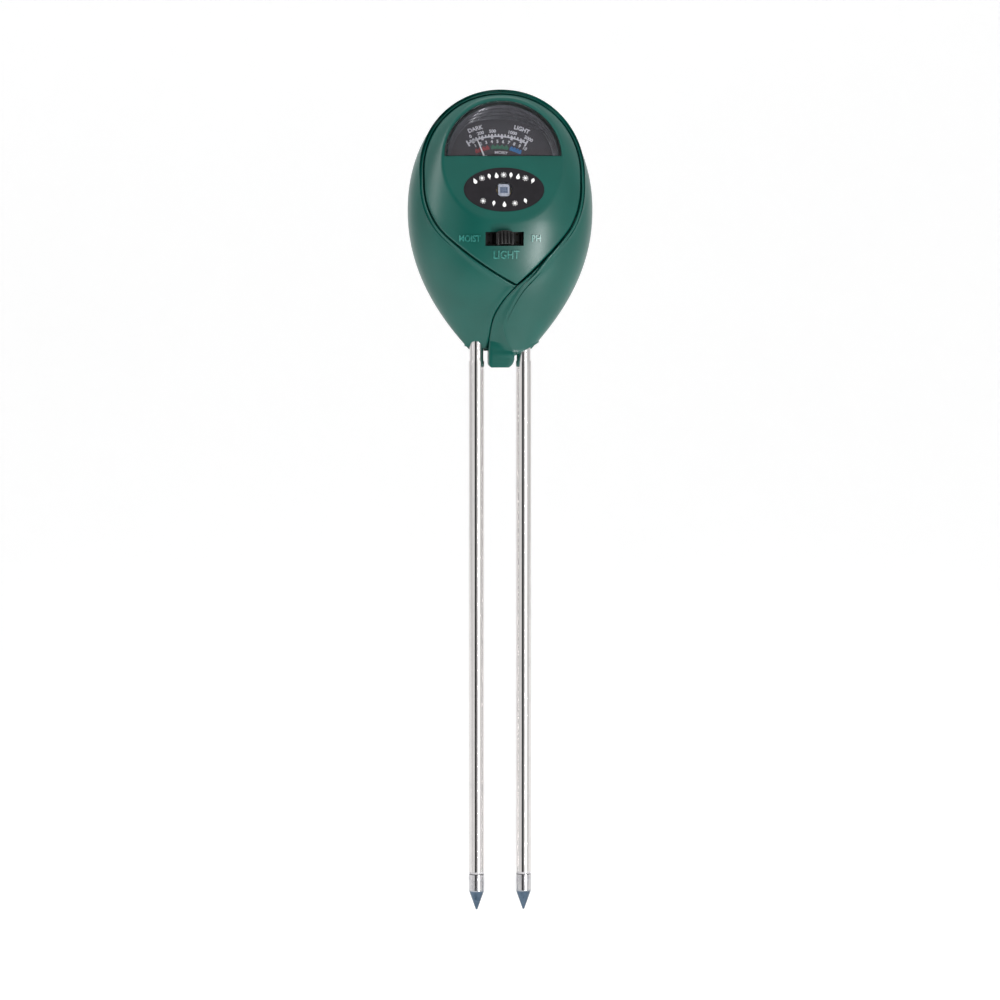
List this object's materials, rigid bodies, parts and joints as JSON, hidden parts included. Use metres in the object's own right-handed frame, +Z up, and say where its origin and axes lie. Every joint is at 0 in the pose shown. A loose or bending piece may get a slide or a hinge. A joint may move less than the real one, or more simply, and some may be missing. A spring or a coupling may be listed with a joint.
{
  "type": "soil moisture meter",
  "caption": "Egg-shaped soil meter head with sloping dial, three-position slide switch and two long pointed metal probes.",
  "frame": {"origin": "middle of the flat foot of the stop tab between the probes, in the plane of the probe axes", "axes": "+X right seen from the front, the dial faces -Y, +Z up along the probes towards the head"},
  "size_m": [0.06, 0.039, 0.268],
  "materials": {
    "green_shell": "satin moulded",
    "clear_plastic": "clear moulded",
    "black_plastic": "moulded",
    "badge_print": "printed",
    "dial_print": "printed",
    "white_enamel": "enamel",
    "nickel_plate": "polished",
    "tip_metal": "turned",
    "steel": "plated",
    "brass": "turned",
    "copper_coil": "enamelled winding",
    "silicon_cell": "dark blue cell",
    "wire_sheath": "PVC sheath",
    "board_laminate": "paper laminate",
    "resistor_ceramic": "lacquer"
  },
  "bodies": {
    "case": {"front_cover": "green_shell", "rear_cover": "green_shell", "face_panel": "green_shell", "case_screws": "steel", "window_lens": "clear_plastic", "sensor_lens": "clear_plastic", "badge_plate": "badge_print", "photocell_body": "steel", "photocell_cell": "silicon_cell", "photocell_wires": "wire_sheath", "meter_housing": "black_plastic", "dial_plate": "dial_print", "dial_screws": "steel", "front_bridge": "brass", "rear_bridge": "brass", "front_jewel": "brass", "rear_jewel": "brass", "yoke_ring": "steel", "core_magnet": "steel", "core_supports": "brass", "movement_screws": "steel", "front_hairspring": "brass", "rear_hairspring": "brass", "switch_frame": "steel", "switch_base": "board_laminate", "switch_terminals": "steel", "circuit_board": "board_laminate", "resistors": "resistor_ceramic", "movement_wires": "wire_sheath", "probe_wire_left": "wire_sheath", "probe_wire_right": "wire_sheath", "probe_lug_left": "brass", "probe_lug_right": "brass", "probe_tube_left": "nickel_plate", "probe_tube_right": "nickel_plate", "probe_collar_left": "steel", "probe_collar_right": "steel", "probe_ring_left": "black_plastic", "probe_ring_right": "black_plastic", "probe_tip_left": "tip_metal", "probe_tip_right": "tip_metal"},
    "movement": {"pointer": "white_enamel", "balance_weight": "brass", "coil_former": "tip_metal", "coil_winding": "copper_coil", "pivot_staffs": "steel"},
    "slider": {"switch_knob": "black_plastic", "switch_contacts": "brass"}
  },
  "joints": [
    {"name": "pointer_swing", "type": "hinge", "parent": "case", "child": "movement", "pos_m": [-0.0014, -0.00886, 0.05542], "axis": [0, 0.9397, -0.342], "range_deg": [-11, 51], "stiffness_Nm_per_rad": 0.000003, "springref_deg": -10.89},
    {"name": "switch_slide", "type": "slide", "parent": "case", "child": "slider", "axis": [1, 0, 0], "range_m": [-0.003, 0.003]}
  ]
}
